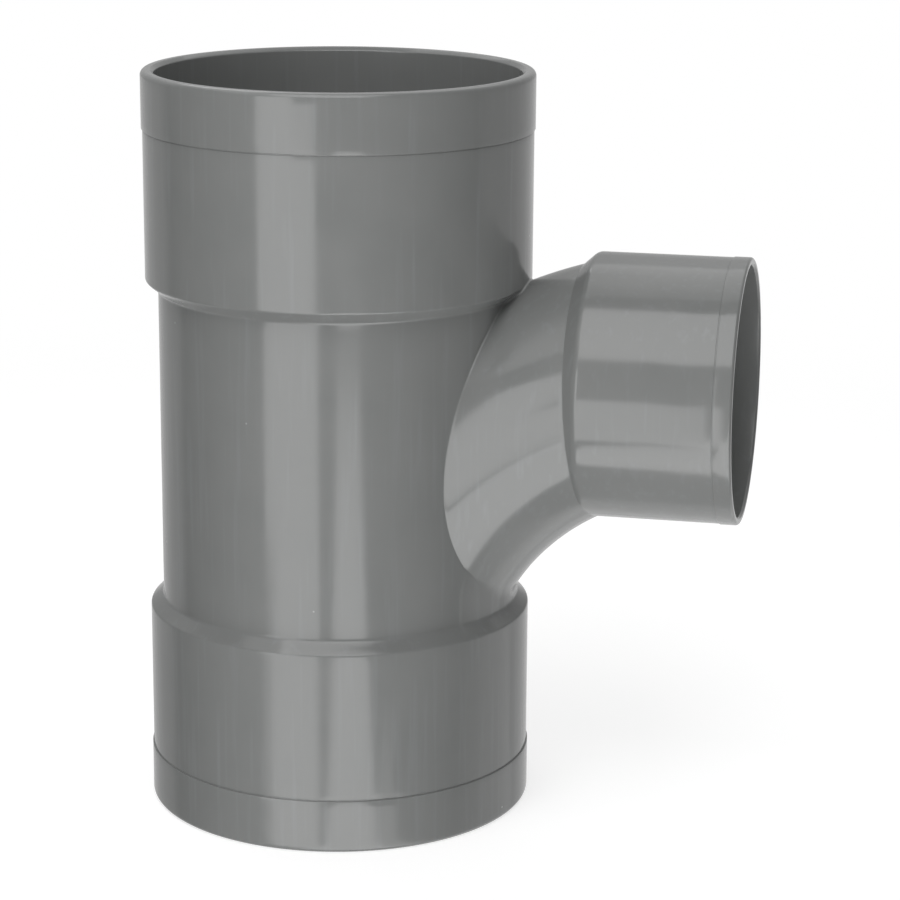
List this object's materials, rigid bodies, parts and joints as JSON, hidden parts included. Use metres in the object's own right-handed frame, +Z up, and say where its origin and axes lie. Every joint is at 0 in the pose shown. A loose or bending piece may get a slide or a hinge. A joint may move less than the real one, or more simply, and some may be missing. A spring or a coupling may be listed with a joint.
{
  "type": "reducing tee",
  "caption": "Swept reducing tee for cemented drain pipe: a straight run with a socket at each end and a smaller branch socket on a curved bend, moulded in grey uPVC.",
  "frame": {"origin": "centre of the lower run mouth, on the run's axis, in the plane of the mouth's rim", "axes": "+Z up the run from the lower mouth to the upper one, +X out of the branch mouth, Y across"},
  "size_m": [0.1846, 0.1186, 0.2275],
  "materials": {
    "grey_upvc": "moulded, glossy"
  },
  "bodies": {
    "root": {"tee_body": "grey_upvc"}
  },
  "joints": []
}
